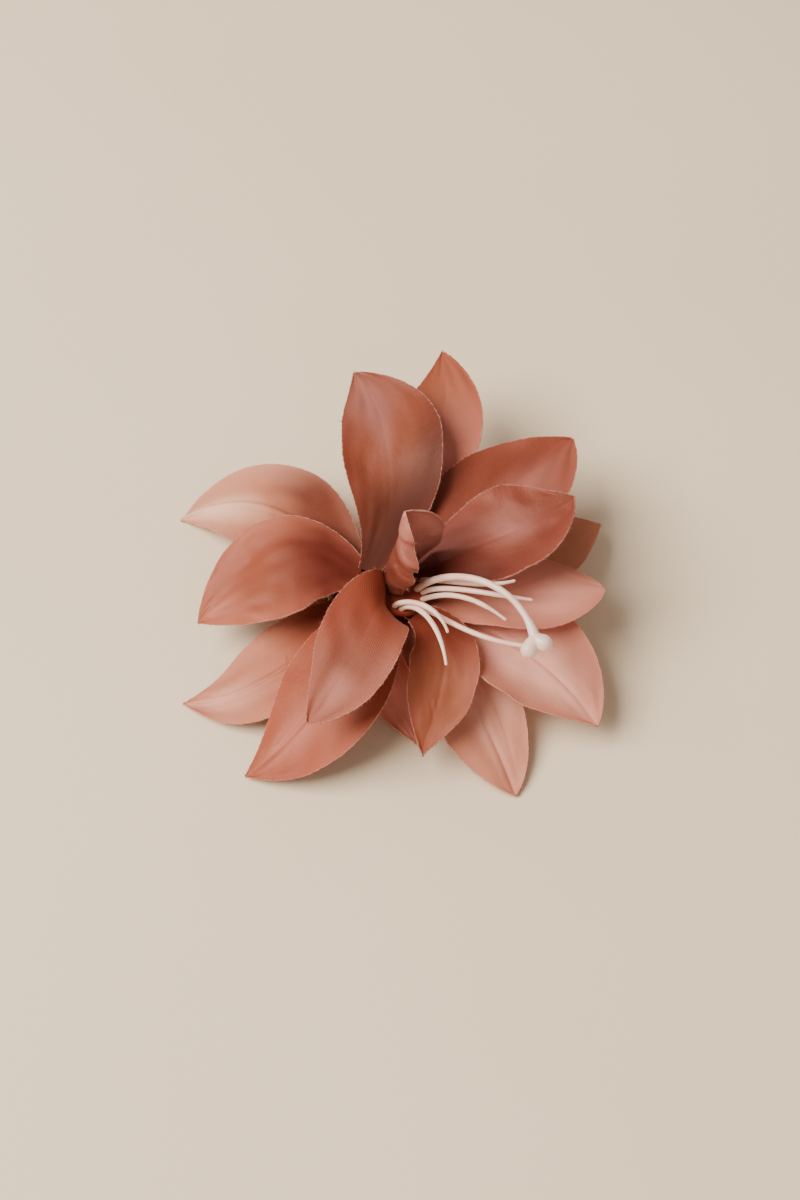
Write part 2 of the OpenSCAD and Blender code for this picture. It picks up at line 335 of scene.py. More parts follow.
def relief(p, s, t, w, reach, rng):
    """How far the cloth stands off the smooth blade."""
    side = t * w
    pressed = smooth(s, 0.02, 0.18) * (1 - 0.75 * smooth(s, 0.9, 1.0))
    # pressed midrib: a narrow valley with a raised lip each side
    lift = np.zeros_like(side)
    lift -= p["crease"] * pressed * groove(side, 0.55)
    lift += 0.3 * p["crease"] * pressed * groove(np.abs(side) - 1.3, 0.7)
    # pressed veins, fanning out of the foot
    for at_t, depth in p["veins"]:
        vein = groove(side - at_t * w, 0.45)
        lift -= depth * smooth(s, 0.10, 0.35) * (1 - smooth(s, 0.72, 0.95)) * vein
    # edge waves, and places where an edge curls up
    edge = smooth(np.abs(t), 0.45, 1.0)
    for sign, (height, turns, phase) in zip((-1, 1), p["wave"]):
        ripple = np.sin(2 * pi * turns * s + phase) * smooth(s, 0.05, 0.3)
        lift += height * edge * (np.sign(t) == sign) * ripple
    for at_s, length, height, sign in p["curls"]:
        lift += height * groove(s - at_s, length) * smooth(sign * t, 0.3, 1.0) ** 1.5
    # unevenness left by shaping hands: soft dents, then finer ones
    lift += p["dents"] * pressed * waves(rng, s, t, 5, 1.2, 2.6)
    lift += p["mottle"] * pressed * waves(rng, s, t, 6, 4, 8)
    # wrinkles: a slightly bowed valley with one raised lip
    for at_s, at_t, angle, length, depth in p["wrinkles"]:
        a = radians(angle)
        ds, dt = (s - at_s) * reach, side - at_t * p["width"] / 2
        run, off = ds * cos(a) + dt * sin(a), -ds * sin(a) + dt * cos(a)
        off = off - 0.10 * run ** 2 / length
        ends = np.exp(-(run / length) ** 4)
        lift -= depth * groove(off, 0.42) * ends
        lift += 0.7 * depth * groove(off - 0.9, 0.5) * ends
    return lift


def grid_normals(g):
    return unit(np.cross(np.gradient(g, axis=0), np.gradient(g, axis=1)))


def petal_surface(p, seed):
    """A petal's middle surface: the CAD's blade with its pressed detail.

    Gives points and normals, cloth coordinates (mm along, mm across, mm from the cut edge), colour
    coordinates (s, t, shade: the sum of the patches of deeper dye, painted shade and painted light) and the
    blank's widest span, length and area.
    """
    rng = np.random.default_rng(seed)
    s = np.linspace(0, 1, ALONG + 1)[:, None]
    # columns are closer together at the midrib and at both edges
    u = np.linspace(-1, 1, ACROSS + 1)[None, :]
    t = u - 0.10 * np.sin(2 * pi * u) / 2
    middle, left, up, reach = midrib(p, s)
    w_right, w_left = half_widths(p, s, rng)
    w = np.where(t < 0, w_right, w_left)
    # a round cup across the petal, and a V along the midrib on top of it
    bend = np.radians(p["cup"][0] + (p["cup"][1] - p["cup"][0]) * s) * (1 + p["skew"] * t)
    x = w * np.sin(bend * t) / bend
    y = w * (1 - np.cos(bend * t)) / bend
    y += p["vee"] * smooth(s, 0.0, 0.3) * w * np.abs(t) ** 1.3
    lift = relief(p, s, t, w, reach, rng)
    # feet that meet over the middle of the calyx are tucked inwards and up
    inward, raised = p["tuck"]
    pull = np.clip(1 - s / TUCKED_SHARE, 0, 1) ** 2
    root = middle + pull * (np.array([0, 0, raised]) - inward * heading_dir(p["heading"], 0))
    point = root[:, None] + left[:, None] * x[..., None] + up[:, None] * y[..., None]
    point = point + grid_normals(point) * lift[..., None]
    steps = np.linalg.norm(np.diff(middle, axis=0), axis=1)
    length = float(steps.sum())
    run = np.concatenate([[0], np.cumsum(steps)])[:, None]
    rim = np.minimum(w * (1 - np.abs(t)), (1 - s) * length * 0.9)
    cloth = np.stack([run + 0 * t, t * w, rim], -1)
    # shade: positive patches are deeper dye and painted shade, negative ones are painted light and painted
    # highlights
    shade = np.zeros(rim.shape)
    for at_s, at_t, spread_s, spread_t, amount in p["dye_and_painted_light"]:
        shade += amount * np.exp(-((s - at_s) / spread_s) ** 2 - ((t - at_t) / spread_t) ** 2)
    place = np.stack([s + 0 * t, t + 0 * s, shade], -1)
    across = (w_left + w_right)[:, 0]
    area = float((np.diff(run[:, 0]) * (across[1:] + across[:-1]) / 2).sum())
    return point, grid_normals(point), cloth, place, (float(across.max()), length, area)


def add_mesh(name, verts, faces, mat, smooth_shading=True):
    mesh = bpy.data.meshes.new(name)
    mesh.from_pydata([tuple(v) for v in verts], [], faces)
    mesh.update()
    mesh.materials.append(mat)
    if smooth_shading:
        mesh.polygons.foreach_set("use_smooth", [True] * len(mesh.polygons))
    obj = bpy.data.objects.new(name, mesh)
    bpy.context.scene.collection.objects.link(obj)
    return obj


def vector_attribute(mesh, name, values):
    a = mesh.attributes.new(name, "FLOAT_VECTOR", "POINT")
    a.data.foreach_set("vector", np.asarray(values, np.float32).ravel())


def sheet_solid(name, point, normal, cloth, place, mat):
    """A closed solid of the satin's thickness round the petal's middle surface."""
    rows, cols = point.shape[:2]
    half = SATIN / MM / 2
    top, bottom = point + normal * half, point - normal * half
    verts = np.concatenate([top.reshape(-1, 3), bottom.reshape(-1, 3)]) * MM
    k = rows * cols
    i, j = np.meshgrid(np.arange(rows - 1), np.arange(cols - 1), indexing="ij")
    a = (i * cols + j).ravel()
    quads = np.stack([a, a + cols, a + cols + 1, a + 1], 1)
    faces = [tuple(q) for q in quads.tolist()] + [tuple(q[::-1]) for q in (quads + k).tolist()]
    rim = [r * cols for r in range(rows)] + [(rows - 1) * cols + c for c in range(1, cols)]
    rim += [r * cols + cols - 1 for r in range(rows - 2, -1, -1)] + list(range(cols - 2, 0, -1))
    faces += [(b, a, a + k, b + k) for a, b in zip(rim, rim[1:] + rim[:1])]
    obj = add_mesh(name, verts, faces, mat)
    for attribute, v in (("cloth", cloth), ("place", place)):
        vector_attribute(obj.data, attribute, np.concatenate([v.reshape(-1, 3)] * 2))
    # both edges of the cut rim are sharp
    pairs = np.zeros(len(obj.data.edges) * 2, np.int32)
    obj.data.edges.foreach_get("vertices", pairs)
    pairs = pairs.reshape(-1, 2)
    at_rim = np.zeros(2 * k, bool)
    at_rim[rim] = True
    at_rim[np.array(rim) + k] = True
    same_face = (pairs[:, 0] < k) == (pairs[:, 1] < k)
    sharp = obj.data.attributes.new("sharp_edge", "BOOLEAN", "EDGE")
    sharp.data.foreach_set("value", at_rim[pairs[:, 0]] & at_rim[pairs[:, 1]] & same_face)
    return obj


def threads(name, point, normal, cloth, place, mat, rng, count, longest):
    """Loose threads along the cut edge of a petal, each a bent needle with three sides."""
    rows, cols = point.shape[:2]
    verts, faces, cloth_here, place_here = [], [], [], []
    for _ in range(count):
        col, inner = (0, 3) if rng.choice((-1, 1)) < 0 else (cols - 1, cols - 4)
        row = int(rng.uniform(0.12, 0.995) * (rows - 1))
        base = point[row, col]
        out = unit(base - point[row, inner])
        forward = unit(point[min(row + 1, rows - 1), col] - point[max(row - 1, 0), col])
        n = normal[row, col]
        size = longest * rng.uniform(0.25, 1.0) ** 2
        first = unit(out * rng.uniform(0.2, 1.0) + forward * rng.normal(0, 0.9) + n * rng.normal(0, 0.35))
        second = unit(first + 0.54 * rng.normal(size=3))
        thick = rng.uniform(0.022, 0.045)
        bend = base + first * size * 0.5
        stations = (
            (base - out * 0.12, thick),
            (bend, thick * 0.8),
            (bend + second * size * 0.5, thick * 0.25),
        )
        across = unit(np.cross(first, n) + 1e-6)
        start = len(verts)
        for at, radius in stations:
            for corner in range(3):
                angle = 2 * pi * corner / 3
                verts.append(at + radius * (across * cos(angle) + n * sin(angle)))
                cloth_here.append(cloth[row, col])
                place_here.append(place[row, col])
        for ring in (start, start + 3):
            for m in range(3):
                a, b = ring + m, ring + (m + 1) % 3
                faces.append((a, b, b + 3, a + 3))
        faces.append((start + 2, start + 1, start))
        faces.append((start + 6, start + 7, start + 8))
    obj = add_mesh(name, np.array(verts) * MM, faces, mat)
    vector_attribute(obj.data, "cloth", cloth_here)
    vector_attribute(obj.data, "place", place_here)
    return obj


def satin(name, colours, base, weave_depth, seed):
    """Dyed polyester satin: dark foot (deeper dye and painted shade), warm middle, pinker edge, painted
    dark and light patches, diagonal weave, pale cut rim.
    """
    m = Tree(name)
    deep_dye_and_shade, middle, edge = (tuple(c * k for c, k in zip(dye, DYE)) for dye in colours)
    cloth = m.attribute("cloth").outputs["Vector"]
    s, t, shade = m.parts(m.attribute("place").outputs["Vector"])
    rim_mm = m.parts(cloth)[2]
    # every petal takes its own part of the noise
    shifted = m.add("ShaderNodeVectorMath", operation="ADD")
    m.put(shifted.inputs[0], cloth)
    shifted.inputs[1].default_value = (seed * 31.7, seed * 17.3, 0)
    field = shifted.outputs[0]
    # dye: uneven along the petal and across it
    blot = m.noise(m.stretch(field, (1, 1, 0)), 0.055, 3, 0.55)
    streak = m.noise(m.stretch(field, (0.25, 1.6, 0)), 0.16, 3, 0.6)
    s_soft = m.plus(s, m.times(m.minus(blot, 0.5), 0.35))
    t_soft = m.plus(m.math("ABSOLUTE", t), m.times(m.minus(streak, 0.5), 0.5))
    # dark foot: deeper dye, and painted shade where the feet crowd round the calyx
    body = m.mix(m.ramp(s_soft, *base), deep_dye_and_shade, middle)
    side_pink = m.times(m.ramp(t_soft, 0.35, 1.05), 0.8)
    tip_pink = m.times(m.ramp(s_soft, 0.62, 1.08), 0.7)
    pink = m.times(m.math("MAXIMUM", side_pink, tip_pink), m.ramp(s, 0.08, 0.5, 0.35, 1.0))
    body = m.mix(pink, body, edge)
    body = m.mix(m.times(m.minus(streak, 0.42), 0.5, True), body, darker(middle, 0.72))
    # patches painted deeper (dye and painted shade) or paler (painted light and painted highlights)
    painted_light_colour = tuple(min(1, c * 1.6 + 0.12) for c in edge)
    body = m.mix(m.times(shade, 1.0, True), body, deep_dye_and_shade)
    # negative shade mixes in a pale colour as painted light and painted highlight
    body = m.mix(m.times(shade, -1.0, True), body, painted_light_colour)
    # threads: satin floats run on the bias, crossed by the finer weft
    warp = m.wave(m.stretch(cloth, (1, 1, 0), WARP_ANGLE), 0.62, 0.6)
    weft = m.wave(m.stretch(cloth, (1, 1, 0), WEFT_ANGLE), 0.72, 0.8)
    weave = m.times(warp, weft)
    slub = m.noise(m.stretch(field, (0.35, 4.5, 0), WARP_ANGLE), 1.1, 2, 0.6)
    body = m.mix(m.times(weave, 0.05), body, tuple(min(1, c * 1.6 + 0.03) for c in edge))
    body = m.mix(m.times(slub, 0.16), body, darker(middle, 0.6))
    # the cut edge, where the dye is thin and the threads are loose
    fray = m.plus(rim_mm, m.times(m.noise(cloth, 1.1, 3, 0.7), -0.7))
    pale = m.ramp(fray, -0.15, -0.40)
    body = m.mix(m.times(pale, 0.55), body, RIM_DYE)
    rough = m.plus(m.times(slub, 0.14), m.ramp(s, 0.2, 0.55, 0.72, 0.42))
    m.put(m.bsdf.inputs["Base Color"], body)
    m.put(m.bsdf.inputs["Roughness"], m.plus(rough, m.times(pale, 0.3)))
    m.bsdf.inputs["Specular IOR Level"].default_value = 0.5
    m.bsdf.inputs["Specular Tint"].default_value = GLOSS_TINT
    m.bsdf.inputs["Sheen Weight"].default_value = 0.06
    m.bsdf.inputs["Sheen Roughness"].default_value = 0.38
    m.bsdf.inputs["Sheen Tint"].default_value = SHEEN_TINT
    crinkle = m.noise(m.stretch(field, (1, 1, 0)), 0.55, 4, 0.6)
    crinkled = m.bump(crinkle, 0.00022, 0.55)
    woven = m.bump(weave, 0.00007, weave_depth, m.bump(slub, 0.00006, 0.55, crinkled))
    m.put(m.bsdf.inputs["Normal"], woven)
    # light that comes through the cloth
    through = m.add("ShaderNodeBsdfTranslucent")
    m.put(through.inputs["Color"], m.mix(0.55, body, THROUGH_LIGHT))
    m.put(through.inputs["Normal"], crinkled)
    blend = m.add("ShaderNodeMixShader")
    blend.inputs[0].default_value = GLOW
    m.put(blend.inputs[1], m.bsdf.outputs[0])
    m.put(blend.inputs[2], through.outputs[0])
    m.put(m.out.inputs["Surface"], blend.outputs[0])
    return m.mat


def on_column(heading, height):
    """Foot of a petal on the calyx's column, as in the CAD."""
    return (FOOT_RADIUS * cos(radians(heading)), FOOT_RADIUS * sin(radians(heading)), height)


def on_rim(heading):
    """Foot of a petal on the rim of the trumpet, as in the CAD."""
    x, y, z = TRUMPET
    return (x + TRUMPET_RADIUS * cos(radians(heading)), y + TRUMPET_RADIUS * sin(radians(heading)), z)


# What a petal has unless its own entry says otherwise
PLAIN = dict(
    hold=(0.38, 0.38),      # reach of the midrib's two handles, as shares of foot to tip
    roll=(0, 0),            # twist about the midrib at the foot and at the tip, degrees
    peaks=(0.5, 0.5),       # s where the right and the left side are widest
    sides=(1.0, 1.0),       # widening of the right and the left side
    blunt=0.9,              # lower is blunter
    scallop=(0, 0),         # depth of the scallops in the right and the left edge
    cup=(20, 10),           # bend of each half across the petal at the foot and at the tip, degrees
    skew=0.0,               # share by which the left half bends more, and the right half less
    vee=0.0,                # slope of the V along the midrib
    crease=0.12,            # depth of the pressed midrib, a ridge if negative
    veins=(),               # (t, depth) of each pressed vein
    wave=((0.5, 2.2, 0.0), (0.5, 1.8, 2.0)),   # (height, turns, phase) for the right and the left edge
    curls=(),               # (s, length as a share, height, side) of each curled place on an edge
    dents=0.38,             # height of the soft dents
    mottle=0.09,            # height of the finer dents
    wrinkles=(),            # (s, t, angle in degrees, length, depth) of each wrinkle
    tuck=(0, 0),            # how far the foot is tucked inwards and up
    dye_and_painted_light=(),              # (s, t, spread in s, spread in t, amount) of each patch: deeper dye and painted shade if positive, painted light and painted highlight if negative
    base=(0.12, 0.60),      # s where the dark foot (deeper dye and painted shade) starts to fade and where it is gone
    weave=0.35,             # strength of the weave's relief
    rough_edge=1.0,         # share of the usual number of loose threads
)

# Each petal as in the CAD, plus the way it was pressed, bent by hand and dyed (foot, middle, edge). The
# colours also carry painted light: some are lifted where a petal lies in another's shadow, and the feet are
# darkened as painted shade.
PETALS = {
    "outer_petal_1": dict(
        foot=on_column(120, OUTER_FOOT), heading=120, rise=35,
        tip=(-46, 41, 0.5), tip_heading=175, droop=-30,
        width=27, peaks=(0.46, 0.42), cup=(20, 5), crease=-0.35,
        wave=((0.6, 1.6, 0.5), (0.5, 1.4, 2.4)), dents=0.45, base=(0.2, 0.62),
        dye_and_painted_light=((0.34, -0.6, 0.2, 0.6, 1.1), (0.8, 0.15, 0.28, 0.5, -0.9), (0.5, 0.8, 0.2, 0.35, 0.35)),
        colours=(srgb(110, 42, 22), srgb(226, 168, 140), srgb(250, 204, 186))),
    "outer_petal_2": dict(
        foot=on_column(221, OUTER_FOOT), heading=221, rise=0,
        tip=(-52, -15, 0.5), tip_heading=165, droop=-8,
        width=23, peaks=(0.45, 0.5), cup=(12, 10), crease=-0.35, vee=0.05,
        wrinkles=((0.42, -0.1, 70, 2.2, 0.24),), base=(0.1, 0.5),
        dye_and_painted_light=((0.12, 0.0, 0.12, 1.0, 0.5), (0.82, 0.1, 0.2, 0.5, -0.6)),
        colours=(srgb(150, 76, 50), srgb(206, 136, 108), srgb(242, 186, 166))),
    "outer_petal_3": dict(
        foot=on_column(268, OUTER_FOOT), heading=268, rise=-5,
        tip=(4, -40, 1), tip_heading=275, droop=-10,
        width=17, cup=(10, 10),
        # the pale patch and the bright colours are painted light: this petal lies in the shade of
        # trumpet_petal_2 and trumpet_petal_3
        dye_and_painted_light=((0.7, 0.0, 0.35, 0.9, -1.0),),
        colours=(srgb(232, 132, 108), srgb(236, 156, 134), srgb(238, 160, 144))),
    "outer_petal_4": dict(
        foot=on_column(304, OUTER_FOOT), heading=304, rise=20,
        tip=(25, -59, 0.5), tip_heading=277, droop=-15,
        width=22, peaks=(0.6, 0.55), blunt=0.65, cup=(20, 12), vee=0.12, crease=0.3,
        veins=((0.4, 0.25),), base=(0.1, 0.42),
        dye_and_painted_light=((0.6, 0.0, 0.25, 0.35, -0.7), (0.55, 0.7, 0.2, 0.35, -0.8)),
        colours=(srgb(150, 70, 50), srgb(230, 172, 150), srgb(242, 184, 168))),
    "outer_petal_5": dict(
        foot=on_column(-8, OUTER_FOOT), heading=-8, rise=14,
        tip=(62, 7, 8), tip_heading=20, droop=-15,
        width=26, peaks=(0.6, 0.6), crease=0.0,
        colours=(srgb(190, 130, 100), srgb(224, 172, 138), srgb(228, 168, 140))),
    "outer_petal_6": dict(
        foot=on_column(48, OUTER_FOOT), heading=48, rise=35,
        tip=(32, 60, 24), tip_heading=92, droop=-10,
        width=25, cup=(25, 10), crease=0.05,
        # the pale patch and the foot colour, paler than the middle, are painted light on the part in the
        # shade of middle_petal_6
        dye_and_painted_light=((0.38, -0.2, 0.28, 0.9, -1.2),),
        colours=(srgb(224, 170, 136), srgb(172, 118, 88), srgb(198, 114, 94))),
    "middle_petal_1": dict(
        foot=on_column(150, MIDDLE_FOOT), heading=150, rise=48, tuck=(3.6, 2.0),
        tip=(-44, 2, 10), tip_heading=200, droop=-30,
        width=30, peaks=(0.47, 0.45), cup=(20, 5), crease=0.0, dents=0.8, mottle=0.2,
        dye_and_painted_light=((0.15, 0.0, 0.15, 1.0, 0.6), (0.85, 0.3, 0.16, 0.5, -0.35)),
        colours=(srgb(104, 32, 18), srgb(172, 104, 80), srgb(214, 140, 120))),
    "middle_petal_2": dict(
        foot=on_column(262, MIDDLE_FOOT), heading=262, rise=25,
        tip=(-39, -39, 1), tip_heading=190, droop=-25,
        width=24, sides=(1.0, 1.28), cup=(20, 8), crease=-0.3,
        dye_and_painted_light=((0.3, 0.3, 0.2, 0.9, 0.3), (0.75, 0.0, 0.2, 0.4, -0.45)),
        colours=(srgb(162, 64, 40), srgb(180, 102, 74), srgb(200, 122, 100))),
    "middle_petal_3": dict(
        foot=on_column(318, MIDDLE_FOOT - 1), heading=318, rise=12,
        tip=(48, -49, 8), tip_heading=290, droop=-15,
        width=27, peaks=(0.58, 0.6), blunt=0.78, cup=(25, 12), vee=0.12, crease=0.3,
        curls=((0.42, 0.16, 0.9, -1),), base=(0.15, 0.48),
        dye_and_painted_light=((0.15, 0.6, 0.15, 0.6, 0.8), (0.62, -0.1, 0.32, 0.5, -1.4)),
        colours=(srgb(96, 32, 26), srgb(226, 170, 154), srgb(240, 176, 160))),
    "middle_petal_4": dict(
        foot=on_column(-25, MIDDLE_FOOT), heading=-25, rise=15,
        tip=(57, -19, 20), tip_heading=3, droop=-10,
        width=22, peaks=(0.58, 0.58), blunt=0.6, cup=(25, 12), crease=0.05, base=(0.08, 0.36),
        # the pale patch and the light middle colour are painted light: this petal lies partly in the shade
        # of middle_petal_5
        dye_and_painted_light=((0.15, -0.5, 0.16, 0.7, 0.7), (0.7, 0.0, 0.28, 0.7, -1.3)),
        colours=(srgb(110, 40, 28), srgb(226, 168, 150), srgb(228, 162, 144))),
    "middle_petal_5": dict(
        foot=on_column(10, MIDDLE_FOOT), heading=10, rise=42,
        tip=(59, 24, 24), tip_heading=40, droop=-5,
        width=27, peaks=(0.6, 0.6), blunt=0.75, cup=(25, 10), crease=0.05,
        curls=((0.88, 0.09, 1.3, 1),),
        dye_and_painted_light=((0.25, 0.5, 0.2, 0.7, 0.4), (0.72, -0.2, 0.18, 0.35, -0.4),
                (0.5, 0.9, 0.2, 0.3, 0.6), (0.55, -0.8, 0.3, 0.4, -0.35)),
        colours=(srgb(128, 52, 36), srgb(148, 84, 64), srgb(186, 114, 98))),
    "middle_petal_6": dict(
        foot=on_column(42, MIDDLE_FOOT), heading=42, rise=55, tuck=(3.6, 2.0),
        tip=(8, 53, 32), tip_heading=114, droop=-10,
        width=27, peaks=(0.55, 0.55), sides=(1.12, 0.86), cup=(30, 15), crease=0.04,
        dents=0.55, base=(0.08, 0.62),
        dye_and_painted_light=((0.22, -0.4, 0.2, 0.7, 0.9), (0.5, -0.85, 0.2, 0.4, 0.7),
                (0.68, 0.05, 0.18, 0.22, -0.45), (0.85, 0.2, 0.18, 0.9, -0.5)),
        colours=(srgb(60, 14, 8), srgb(168, 104, 80), srgb(146, 78, 60))),
    "trumpet_petal_1": dict(
        foot=(12, -4, 22.5), heading=-2, rise=30,
        tip=(54, -1, 36), tip_heading=30, droop=0,
        width=25, peaks=(0.58, 0.58), blunt=0.75, cup=(25, 20), crease=0.08, rough_edge=2.0,
        dye_and_painted_light=((0.18, 0.2, 0.16, 0.6, -0.25), (0.35, -0.8, 0.25, 0.45, 1.0), (0.62, 0.0, 0.18, 0.4, -0.3)),
        colours=(srgb(84, 24, 14), srgb(142, 80, 64), srgb(168, 98, 86))),
    "trumpet_petal_2": dict(
        foot=on_rim(190), heading=180, rise=100,
        tip=(-20, -40, 24), tip_heading=205, droop=-30,
        width=21, peaks=(0.52, 0.6), blunt=0.78, cup=(5, 5), hold=(0.45, 0.5), roll=(-10, -10),
        crease=0.05, dents=0.3, weave=0.9, rough_edge=1.6,
        dye_and_painted_light=((0.45, -0.9, 0.25, 0.5, 0.75), (0.82, 0.1, 0.12, 0.5, -0.4), (0.5, 0.2, 0.2, 0.5, 0.35)),
        colours=(srgb(172, 84, 58), srgb(148, 88, 70), srgb(198, 132, 116))),
    "trumpet_petal_3": dict(
        foot=on_rim(285), heading=315, rise=5,
        tip=(5, -48, 10), tip_heading=240, droop=-35,
        width=18, cup=(28, 28), hold=(0.45, 0.45), crease=0.1, dents=0.25, mottle=0.05,
        wrinkles=((0.74, -0.1, 30, 1.6, 0.16),),
        dye_and_painted_light=((0.3, 0.4, 0.2, 0.5, 0.5),),
        colours=(srgb(130, 54, 38), srgb(176, 112, 82), srgb(176, 106, 86))),
    "trumpet_petal_4": dict(
        foot=on_rim(125), heading=130, rise=80,
        tip=(13, -3, 48), tip_heading=105, droop=85,
        width=24, peaks=(0.55, 0.55), blunt=0.4, cup=(90, 100), skew=0.3, hold=(0.4, 0.4), roll=(15, 15),
        crease=0.0, dents=0.15, mottle=0.04, rough_edge=2.0, scallop=(0.0, 1.2),
        wave=((0.3, 2.0, 0.0), (1.1, 3.6, 2.0)),
        # the large pale patch on the inner face is painted light, that face being turned away from the lamp
        dye_and_painted_light=((0.9, 0.8, 0.2, 0.5, -0.5), (0.65, -0.5, 0.35, 0.5, -1.4), (0.45, 0.5, 0.25, 0.4, 0.3)),
        colours=(srgb(104, 44, 28), srgb(132, 66, 46), srgb(182, 112, 96))),
}

for number, (node, entry) in enumerate(PETALS.items()):
    p = {**PLAIN, **entry}
    mat = satin("satin_" + node, p["colours"], p["base"], p["weave"], number)
    point, normal, cloth, place, (span, length, area) = petal_surface(p, PETAL_SEED + number)
    petal = sheet_solid("satin_" + node, point, normal, cloth, place, mat)
    rng = np.random.default_rng(THREAD_SEED + number)
    loose = threads("threads_" + node, point, normal, cloth, place, mat, rng,
                    count=int(LOOSE_THREADS * p["rough_edge"]), longest=0.9)
    for piece in (petal, loose):
        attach(piece, "flower")
    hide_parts(node)


# ------------------------------------------------------------------ stamens and pistil

FILAMENT_RINGS = 70
FILAMENT_RADIUS = 0.70
STYLE_RADIUS = 0.9
STYLE = ((12, -9.6, 23), (18, -14, 38), (35, -20, 41), (36.5, -36, 34.5))   # Bezier points, mm
STIGMA = (36.4, -36.4, 34.4)
LOBES = ((-1.9, -2.1, -0.7), (1.8, -1.4, -0.3), (0.1, -0.3, -1.9))          # from the stigma's middle
LOBE_BALLS = ((1.0, 2.05), (0.8, 2.0), (0.55, 1.85), (0.3, 1.65), (0.1, 1.5))   # share of the way, radius
SKIN_CELL = 0.14 * MM      # size of the voxels that turn the pistil's parts into one skin


def tube(name, path, radii, mat, sides=24):
    """A round tube through path, closed by a flat face at each end."""
    path = np.asarray(path, float)
    n = len(path)
    tangent = unit(np.gradient(path, axis=0))
    left = unit(np.cross(np.array([0.03, 0.05, 1.0]), tangent))
    up = np.cross(tangent, left)
    ang = np.linspace(0, 2 * pi, sides, endpoint=False)
    ring = np.cos(ang)[None, :, None] * left[:, None] + np.sin(ang)[None, :, None] * up[:, None]
    verts = (path[:, None] + ring * np.asarray(radii)[:, None, None]).reshape(-1, 3)
    faces = []
    for start in range(0, (n - 1) * sides, sides):
        for k in range(sides):
            a, b = start + k, start + (k + 1) % sides
            faces.append((a, b, b + sides, a + sides))
    faces.append(tuple(range(sides - 1, -1, -1)))
    faces.append(tuple((n - 1) * sides + k for k in range(sides)))
    return add_mesh(name, verts * MM, faces, mat)


def filament_path(foot, lift, bend, tip):
    """Curve that leaves the foot along lift and arrives at the tip along bend."""
    foot, lift, bend, tip = (np.array(v, float) for v in (foot, lift, bend, tip))
    s = np.linspace(0, 1, FILAMENT_RINGS)[:, None]
    return cubic(np.array([foot, foot + lift, tip - bend, tip]), s)


def round_end(path, radii, steps=7):
    """Adds rings that close a tube's far end with a dome."""
    r = radii[-1]
    d = unit(path[-1] - path[-2])
    a = np.linspace(0, pi / 2, steps + 1)[1:-1]
    more = path[-1] + d * (r * np.sin(a))[:, None]
    last = path[-1] + d * r * 0.999
    return np.concatenate([path, more, last[None]]), np.concatenate([radii, r * np.cos(a), [r * 0.08]])


def cream_plastic():
    m = Tree("filament_plastic")
    where = m.where()
    tint = m.noise(where, 160, 3, 0.5)
    colour = m.mix(m.ramp(tint, 0.3, 0.75), srgb(242, 210, 191), srgb(236, 184, 162))
    fine = m.noise(where, 1800, 2, 0.5)
    m.put(m.bsdf.inputs["Base Color"], colour)
    m.put(m.bsdf.inputs["Roughness"], m.plus(m.times(fine, 0.12), 0.27))
    m.bsdf.inputs["Specular IOR Level"].default_value = 0.5
    m.bsdf.inputs["Subsurface Weight"].default_value = 0.25
    m.bsdf.inputs["Subsurface Radius"].default_value = (0.0012, 0.0006, 0.0004)
    m.bsdf.inputs["Coat Weight"].default_value = 0.15
    m.bsdf.inputs["Coat Roughness"].default_value = 0.2
    m.put(m.bsdf.inputs["Normal"], m.bump(m.noise(where, 700, 2), 0.00005, 0.5))
    return m.mat


plastic = cream_plastic()

# Foot, lift, bend and tip of each filament, mm, as in the CAD
STAMENS = {
    "stamen_1": ((13.2, -7.2, 23), (6, -5, 7), (8, 0.5, 0), (35, -19.5, 34)),
    "stamen_2": ((13.2, -11, 23), (4, -3, 9), (9, -3, -1), (38, -25, 33)),
    "stamen_3": ((12.8, -12.7, 23), (5, -4, 8), (7, -8, -3), (31, -27, 30)),
    "stamen_4": ((11, -14.3, 23), (4, -4.5, 6), (18, -4, 0), (40, -37, 30)),
    "stamen_5": ((5.8, -12.9, 22.9), (1.5, -3, 8), (1, -8, -3), (17, -27, 30)),
    "stamen_6": ((7.2, -14.2, 22.9), (2.5, -2.5, 8), (-1, -12, -4), (15, -35, 29)),
}
for number, (node, (foot, lift, bend, tip)) in enumerate(STAMENS.items()):
    path = filament_path(foot, lift, bend, tip)
    s = np.linspace(0, 1, len(path))
    phase = np.random.default_rng(STAMEN_SEED + number).uniform(0, 6)
    taper = 0.12 * s + 0.22 * smooth(s, 0.72, 1.0)
    radii = FILAMENT_RADIUS - taper + 0.012 * np.sin(2 * pi * 5 * s + phase)
    path, radii = round_end(path, radii)
    piece = tube("filament_" + node, path, radii, plastic)
    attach(piece, "flower")
    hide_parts(node)


